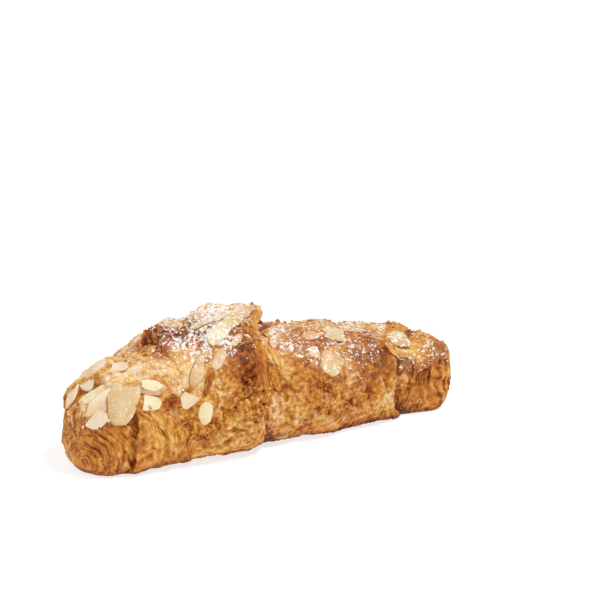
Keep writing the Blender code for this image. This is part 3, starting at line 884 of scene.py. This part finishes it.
def sheet_rows(place, outline, rings, thickness, tilts, chance):
    """Both sides of a thin sheet lying on the crust, as rows from its middle to its rim and back.

    tilts are the degrees by which its end and its long edge stand up, below 0 for the other long edge.
    """
    x, degrees, length, width, turn = place
    here, directions, fitted = rest_on_crust(x, np.radians(degrees), length, width, turn, chance)
    curl = chance.uniform(-0.20, 0.10) / width
    rows = []
    for side in (1, -1):
        for ring in rings if side > 0 else rings[::-1]:
            u, v = (outline * ring).T
            thick = thickness / 2 * (0.55 if ring == 1.0 else 1.0)
            lift = fitted[0] + fitted[1] * u + fitted[2] * v
            lift = lift + fitted[3] * u * u + (fitted[4] + curl) * v * v
            lift = lift + (u + length / 2) * np.tan(np.radians(tilts[0]))
            lift = lift + (v * np.sign(tilts[1]) + width / 2) * np.tan(np.radians(abs(tilts[1])))
            wave = 0.00015 * noise(np.stack([u, v, np.full_like(u, x * 40)], -1), 0.004, 5)
            rise = SHEET_LIFT + lift + wave + side * thick
            rows.append(here + np.stack([u, v, rise], -1) @ np.array(directions))
    return np.array(rows)


def ring_values(rings):
    """For each row of a sheet, how near it is to the rim."""
    return np.array(rings + rings[::-1])[:, None]


def almond_shape(place, chance):
    """Points, faces and attributes of one slice."""
    x, degrees, length, width = place[:4]
    toasted, raised, broken = place[5:]
    outline = almond_outline(length, width, broken, chance)
    rows = sheet_rows(place[:5], outline, ALMOND_RINGS, ALMOND_THICKNESS, (raised, 0.0), chance)
    rings = ring_values(ALMOND_RINGS)
    rim = np.repeat(rings, ALMOND_SPOKES, 1)
    ends = rings * outline[:, 0] / length
    sides = rings * outline[:, 1] / width * chance.choice((-1, 1))
    flesh = toasted + chance.uniform(-0.08, 0.08) + chance.uniform(-0.3, 0.3) * ends + 0.2 * sides
    x = np.full(rim.shape, x)
    angle = np.full(rim.shape, np.radians(degrees))
    attributes = {"rim": rim * (0.6 + 0.8 * sides), "toasted": flesh, "dust": dusting(rows, x, angle)}
    attributes["warmth"] = np.full(rim.shape, chance.uniform(0, 1))
    return close_ends(rows, attributes)


def flake_shape(place, chance):
    """Points, faces and attributes of one flake of dough."""
    x, degrees, length, width = place[:4]
    dark, raised = place[5:]
    outline = flake_outline(length, width, chance)
    tilts = (chance.uniform(0, 4), raised)
    rows = sheet_rows(place[:5], outline, FLAKE_RINGS, FLAKE_THICKNESS, tilts, chance)
    across = ring_values(FLAKE_RINGS) * outline[:, 1] / LAYER_PITCH
    x = np.full(across.shape, x)
    angle = np.full(across.shape, np.radians(degrees))
    bake_and_shade = browning_and_shade(rows, x, angle) + dark
    colours = crust_colours(bake_and_shade, 0.6 * dusting(rows, x, angle), across + chance.uniform(0, 50))
    return close_ends(rows, colours)


def small_flakes(chance):
    """Places by chance for small flakes where the dough is bare."""

    def density(points, x, angle):
        above = ramp(points[..., 2], 0.009, 0.014)
        inner = ramp(x, -0.052, -0.046) * (1 - ramp(x, 0.092, 0.098))
        return (1 - cream(points, x, angle)) * above * inner * ramp(noise(points, 0.008, 77), -0.5, 0.4)

    places = []
    for x, angle in zip(*chosen_places(FLAKE_PLACES, density, chance)):
        length = chance.uniform(*FLAKE_LENGTH)
        width = chance.uniform(*FLAKE_WIDTH)
        dark = chance.uniform(-0.12, 0.12)
        raised = -np.sign(x) * chance.uniform(2, 12)
        places.append((x, np.degrees(angle), length, width, chance.normal(90, 14), dark, raised))
    return places


def add_flakes(material):
    """Flakes that stand off the bare dough."""
    chance = np.random.default_rng(FLAKE_SEED)
    shapes = [flake_shape(place, chance) for place in FLAKES + tuple(small_flakes(chance))]
    obj = mesh_object("pastry_flakes", *joined(shapes), material)


def joined(shapes):
    """Several (points, faces, attributes) as one."""
    count = 0
    all_faces = []
    for points, faces, _ in shapes:
        all_faces.append(faces + count)
        count += len(points)
    attributes = {}
    for key in shapes[0][2]:
        attributes[key] = np.concatenate([shape[2][key] for shape in shapes])
    return np.concatenate([shape[0] for shape in shapes]), np.concatenate(all_faces), attributes


def add_almonds(material):
    """All the almond slices."""
    chance = np.random.default_rng(ALMOND_SEED)
    shapes = [almond_shape(place, chance) for place in all_almonds()]
    obj = mesh_object("almond_slices", *joined(shapes), material)


def grain_shape(divisions):
    """Points and faces of a small ball with a radius of 1."""
    ball = bmesh.new()
    bmesh.ops.create_icosphere(ball, subdivisions=divisions, radius=1)
    points = np.array([vertex.co for vertex in ball.verts])
    faces = np.array([[vertex.index for vertex in face.verts] for face in ball.faces])
    ball.free()
    return points, faces


def scatter(places, sizes, divisions, sunk, chance, uneven):
    """Uneven grains at places (points, normals), each turned by chance and sunk by a share of its size."""
    met, normals = places
    ball, faces = grain_shape(divisions)
    shapes = []
    for number, (point, normal, size) in enumerate(zip(met, normals, sizes)):
        turned = np.linalg.qr(chance.normal(size=(3, 3)))[0]
        stretch = chance.uniform(0.55, 1.25, 3)
        rough = 1 + uneven * noise(ball + number, 0.9, 17) + 0.5 * uneven * noise(ball + number, 0.4, 18)
        grain = (ball * rough[:, None] * stretch) @ turned * size / 2
        tone = np.full(len(ball), chance.uniform(0, 1))
        shapes.append((point + normal * size * (0.5 - sunk) + grain, faces, {"tone": tone}))
    return joined(shapes)


def chosen_places(count, density, chance):
    """About count places by chance, thicker where density(points, x, angle) is larger."""
    x = chance.uniform(*SCATTER_X, count)
    angle = chance.uniform(*np.radians(SCATTER_ANGLE), count)
    points = place_at(x, angle, plain_radius(x, angle))[0]
    kept = chance.uniform(0, 1, count) < density(points, x, angle)
    return x[kept], angle[kept]


def add_sugar(material):
    """Grains of icing sugar, most of them in small clots."""
    chance = np.random.default_rng(SUGAR_SEED)

    def density(points, x, angle):
        clusters = ramp(fractal(points, 0.006, 98), -0.1, 0.5)
        return dusting(points, x, angle) * clusters * (1 - 0.55 * ramp(x, 0.020, 0.030))

    x, angle = chosen_places(SUGAR_PLACES, density, chance)
    clot = chance.integers(1, 7, len(x))
    x = np.repeat(x, clot) + chance.normal(0, CLOT_SIZE, clot.sum())
    angle = np.repeat(angle, clot) + chance.normal(0, CLOT_SIZE / ROLL_RADIUS, clot.sum())
    places = touch(x, angle)
    sizes = chance.uniform(*SUGAR_SIZE, len(x)) * (1 - 0.25 * ramp(x, 0.020, 0.030))
    obj = mesh_object("sugar_grains", *scatter(places, sizes, 1, SUGAR_SUNK, chance, 0.3), material)


def add_crumbs(material):
    """Crumbs of baked almond cream stuck on the crust."""
    chance = np.random.default_rng(CRUMB_SEED)

    def density(points, x, angle):
        patches = ramp(fractal(points, 0.008, 99), -0.3, 0.5)
        free = cream(points, x, angle) * (1 - beneath_almonds(x, angle))
        above = ramp(points[..., 2], 0.006, 0.012) * ramp(x, -0.063, -0.058)
        return above * free * patches * np.clip(0.25 + 0.6 * spots(x, angle, ROUGH), 0, 1)

    x, angle = chosen_places(CRUMB_PLACES, density, chance)
    smallest, largest = CRUMB_SIZE
    sizes = smallest + (largest - smallest) * chance.uniform(0, 1, len(x)) ** 2
    sizes = sizes * (1 + 0.3 * np.clip(spots(x, angle, ROUGH), 0, 1))
    points, faces, _ = scatter(touch(x, angle), sizes, 2, CRUMB_SUNK, chance, 0.35)
    each = len(points) // len(x)
    bake_and_shade = browning_and_shade(points[::each], x, angle) + chance.uniform(-0.16, 0.16, len(x))
    dust = 0.7 * dusting(points[::each], x, angle)
    colours = crust_colours(np.repeat(bake_and_shade, each), np.repeat(dust, each), 0.0, cream=1.0, pit_shade=0.1, glaze=0.1)
    obj = mesh_object("cream_crumbs", points, faces, colours, material)


# ---------------------------------------------------------------- materials

# Colours by how dark a place is: (how dark, colour)
DOUGH_TONES = (
    (0.0, 0xF2C66E), (0.22, 0xE3A24A), (0.42, 0xCB7D2E), (0.62, 0xA65A20), (0.82, 0x703814), (1.0, 0x46220C),
)
CREAM_TONES = (
    (0.0, 0xFBE4AC), (0.22, 0xEFC274), (0.42, 0xDB983E), (0.6, 0xBC6D26), (0.8, 0x8C420E), (1.0, 0x5C2604),
)
ALMOND_TONES = ((0.0, 0xFFF8EC), (0.3, 0xF8E8CB), (0.55, 0xE3C08E), (0.8, 0xC58C4C), (1.0, 0xA0622C))
GLAZE_TONES = ((0.0, 0xFDF0D6), (0.35, 0xF6DCB0), (0.65, 0xE8B674), (1.0, 0xC8823C))
GRAIN_TONES = ((0.0, 0xFCF2E6), (1.0, 0xFFFBF5))  # from grain to grain of sugar
SUGAR = 0xFFF9F2  # specks of it
HAZE = 0xFAD2B4  # thin sugar on the crust


def colour(code):
    """A linear colour from a hexadecimal sRGB one."""
    channels = []
    for shift in (16, 8, 0):
        value = ((code >> shift) & 255) / 255
        channels.append(value / 12.92 if value <= 0.04045 else ((value + 0.055) / 1.055) ** 2.4)
    return (*channels, 1)


class Nodes:
    """Short calls that add shader nodes to a new material."""

    def __init__(self, name):
        self.material = bpy.data.materials.new(name)
        self.material.use_nodes = True
        self.tree = self.material.node_tree
        self.shader = self.tree.nodes["Principled BSDF"]
        self.place = self.add("TexCoord", {}, "Object")

    def put(self, socket, value):
        """Link a socket to value, or set it."""
        if isinstance(value, bpy.types.NodeSocket):
            self.tree.links.new(value, socket)
        else:
            socket.default_value = value

    def add(self, kind, inputs, output=0, **settings):
        """A new node's output, after its settings and inputs are made."""
        node = self.tree.nodes.new("ShaderNode" + kind)
        for name, value in settings.items():
            setattr(node, name, value)
        for key, value in inputs.items():
            self.put(node.inputs[key], value)
        return node.outputs[output]

    def math(self, operation, *values):
        """A Math node."""
        return self.add("Math", dict(enumerate(values)), operation=operation)

    def fit(self, value, low, high, to_low=0.0, to_high=1.0):
        """A smooth Map Range node, clamped."""
        inputs = dict(enumerate((value, low, high, to_low, to_high)))
        return self.add("MapRange", inputs, interpolation_type="SMOOTHSTEP")

    def noise(self, size, detail, roughness, distortion=0.0):
        """Noise with lumps about size across, mostly from 0.3 to 0.7."""
        inputs = {"Vector": self.place, "Scale": 0.5 / size, "Detail": detail}
        inputs.update({"Roughness": roughness, "Distortion": distortion})
        return self.add("TexNoise", inputs, "Fac")

    def sum(self, *terms):
        """Add up terms (value, weight, the value that counts as 0)."""
        total = None
        for value, weight, zero in terms:
            term = self.math("MULTIPLY_ADD", value, weight, -weight * zero)
            total = term if total is None else self.math("ADD", total, term)
        return total

    def layer_noise(self, layer, per_layer, length):
        """Thin streaks along the dough's layers, some to each layer and about length long."""
        across = self.add("CombineXYZ", {0: self.math("MULTIPLY", layer, per_layer)})
        inputs = {0: self.place, 1: (1 / length,) * 3, 2: across}
        place = self.add("VectorMath", inputs, operation="MULTIPLY_ADD")
        return self.add("TexNoise", {"Vector": place, "Scale": 1.0, "Detail": 3.0, "Roughness": 0.6}, "Fac")

    def sugared(self, base, dust, most):
        """Specks of icing sugar over a colour, up to most thicker where dust is 1."""
        specks = self.noise(0.0007, 2.0, 0.6)
        shows = self.fit(self.sum((specks, 1.0, 0.0), (dust, most, 0.0)), 0.72, 0.75)
        return self.mix(shows, base, colour(SUGAR))

    def attribute(self, name):
        """A vertex attribute."""
        return self.add("Attribute", {}, "Fac", attribute_name=name)

    def ramp(self, factor, stops):
        """A Color Ramp with stops (place, hexadecimal colour)."""
        node = self.tree.nodes.new("ShaderNodeValToRGB")
        elements = node.color_ramp.elements
        elements[0].position, elements[0].color = stops[0][0], colour(stops[0][1])
        elements[1].position, elements[1].color = stops[-1][0], colour(stops[-1][1])
        for place, code in stops[1:-1]:
            elements.new(place).color = colour(code)
        self.put(node.inputs[0], factor)
        return node.outputs[0]

    def mix(self, factor, first, second, blend="MIX"):
        """A colour Mix node."""
        return self.add("Mix", {0: factor, 6: first, 7: second}, 2, data_type="RGBA", blend_type=blend)

    def bump(self, height, distance, strength):
        """Small relief on the shader's normal."""
        normal = self.add("Bump", {"Height": height, "Distance": distance, "Strength": strength})
        self.put(self.shader.inputs["Normal"], normal)

    def finish(self, base, roughness, **constants):
        """Set the shader."""
        self.put(self.shader.inputs["Base Color"], base)
        self.put(self.shader.inputs["Roughness"], roughness)
        for name, value in constants.items():
            self.shader.inputs[name.replace("_", " ")].default_value = value
        return self.material


def crust_material():
    """Browned layered dough, the almond cream crusted on it, its glaze and icing sugar, with shade painted
    darker into pits, grooves and under folds.
    """
    n = Nodes("crust")
    bake_and_shade, pit_shade, covered, glaze, dust, layer = (
        n.attribute(key) for key in ("bake_and_shade", "pit_shade", "cream", "glaze", "dust", "layer")
    )
    fine = n.noise(0.0009, 2.0, 0.6)
    grit = n.noise(0.0017, 4.0, 0.7)
    broad = n.noise(0.0065, 3.0, 0.6)
    lines = n.layer_noise(layer, 2.0, 0.0045)
    # The baked tone carries painted shade along grooves, under folds and in a shadowed pocket, and the pits
    # darken every tone as painted shade.
    browning_and_shade = n.sum((bake_and_shade, 1.0, 0.0), (broad, 0.5, 0.5))

    streaks = n.math("MULTIPLY", n.sum((lines, 1.3, 0.5)), n.fit(glaze, 0, 1, 1.0, 0.3))
    dough = n.sum(
        (browning_and_shade, 1.0, 0.0), (broad, -0.2, 0.5), (streaks, 1.0, 0.0), (fine, 0.7, 0.5), (pit_shade, 0.32, 0.01)
    )
    dough = n.ramp(dough, DOUGH_TONES)
    crumbly = n.sum((browning_and_shade, 1.0, -0.07), (grit, 0.75, 0.5), (fine, 1.0, 0.5), (pit_shade, 0.35, 0.0))
    crumbly = n.ramp(crumbly, CREAM_TONES)
    glazed = n.sum((bake_and_shade, 0.9, -0.14), (broad, 1.0, 0.5), (grit, 0.9, 0.5), (fine, 0.9, 0.5), (pit_shade, 0.4, 0.0))
    glazed = n.ramp(glazed, GLAZE_TONES)
    ragged = n.noise(0.0030, 7.0, 0.70, 0.4)
    glaze_shows = n.fit(n.sum((ragged, 1.0, 0.0), (glaze, 0.30, 0.0)), 0.55, 0.73)
    base = n.mix(covered, dough, n.mix(glaze_shows, crumbly, glazed))

    haze = n.math("MULTIPLY", dust, n.fit(fine, 0.35, 0.65, 0.02, 0.30))
    base = n.mix(haze, base, colour(HAZE))
    base = n.sugared(base, dust, 0.25)

    n.bump(n.mix(covered, lines, n.sum((grit, 1.0, 0.0), (fine, 0.5, 0.0))), 0.0009, 1.0)
    return n.finish(base, 0.6, Subsurface_Weight=0.10, Subsurface_Scale=0.0015, Specular_IOR_Level=0.2)


def almond_material():
    """Pale almond flesh, toasted towards the rim of each slice."""
    n = Nodes("almond")
    rim, toasted, dust, warmth = (n.attribute(key) for key in ("rim", "toasted", "dust", "warmth"))
    patches = n.noise(0.0035, 3.0, 0.55)
    streaks = n.noise(0.0008, 3.0, 0.6)
    rind = n.math("MULTIPLY", n.fit(rim, 0.84, 1.0), n.fit(toasted, 0.2, 0.8, 0.05, 0.40))
    tone = n.sum((toasted, 0.55, 0.0), (patches, 0.42, 0.0), (rind, 1.0, 0.0), (streaks, 0.18, 0.5))
    base = n.ramp(tone, ALMOND_TONES)
    base = n.mix(1.0, base, n.mix(warmth, colour(0xFFFBE6), colour(0xFFF0EC)), "MULTIPLY")
    base = n.sugared(base, dust, 0.22)
    n.bump(streaks, 0.0003, 0.7)
    return n.finish(base, 0.38, Subsurface_Weight=0.15, Subsurface_Scale=0.002, Specular_IOR_Level=0.5)


def sugar_material():
    """Icing sugar."""
    n = Nodes("sugar")
    base = n.ramp(n.attribute("tone"), GRAIN_TONES)
    return n.finish(base, 0.9, Subsurface_Weight=0.2, Subsurface_Scale=0.001, Specular_IOR_Level=0.1)


def floor_material():
    """Plain white, as white farther off as near the lights."""
    n = Nodes("floor")
    away = n.add("VectorMath", {0: n.place}, "Value", operation="LENGTH")
    n.put(n.shader.inputs["Emission Strength"], n.fit(away, *FLOOR_GLOW))
    n.shader.inputs["Emission Color"].default_value = (1, 1, 1, 1)
    return n.finish(colour(0xACACAC), 0.8, Specular_IOR_Level=0.0)


# ---------------------------------------------------------------- scene


def look_from(obj, aim, azimuth, elevation, distance):
    """Place a camera or light at a distance from aim, turned to it."""
    a, e = math.radians(azimuth), math.radians(elevation)
    back = Vector((math.sin(a) * math.cos(e), -math.cos(a) * math.cos(e), math.sin(e)))
    obj.location = Vector(aim) + back * distance
    obj.rotation_mode = "QUATERNION"
    obj.rotation_quaternion = (-back).to_track_quat("-Z", "Y")


def add_camera():
    """The photo's view."""
    camera = new_object("camera", bpy.data.cameras.new("camera"))
    camera.data.lens = FOCAL_LENGTH
    camera.data.sensor_width = 36
    camera.data.clip_start = 0.05
    camera.data.clip_end = 60
    look_from(camera, CAMERA_AIM, CAMERA_AZIMUTH, CAMERA_ELEVATION, CAMERA_DISTANCE)
    bpy.context.scene.camera = camera


def add_light(name, azimuth, elevation, size, power):
    """A round soft light."""
    light = new_object(name, bpy.data.lights.new(name, "AREA"))
    light.data.shape = "DISK"
    light.data.size = size
    light.data.energy = power
    look_from(light, LIGHT_AIM, azimuth, elevation, LIGHT_DISTANCE)


def add_floor():
    """The white surface it lies on."""
    r = FLOOR_REACH
    mesh = bpy.data.meshes.new("floor")
    mesh.from_pydata([(-r, -r, 0), (r, -r, 0), (r, r, 0), (-r, r, 0)], [], [(0, 1, 2, 3)])
    mesh.materials.append(floor_material())
    floor = new_object("floor", mesh)
    floor.location.z = -0.0001


def add_world():
    """Even white light from all round, and plain colour management."""
    world = bpy.data.worlds.new("studio")
    world.use_nodes = True
    background = world.node_tree.nodes["Background"]
    background.inputs["Color"].default_value = (1, 1, 1, 1)
    background.inputs["Strength"].default_value = WORLD_STRENGTH
    bpy.context.scene.world = world
    bpy.context.scene.view_settings.view_transform = "Standard"


crust = crust_material()
for piece in add_turns(crust):
    if piece.name == "middle_turn":
        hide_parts("croissant")
add_crumbs(crust)
add_flakes(crust)
add_almonds(almond_material())
add_sugar(sugar_material())
add_camera()
add_floor()
add_world()
for light in LIGHTS:
    add_light(*light)
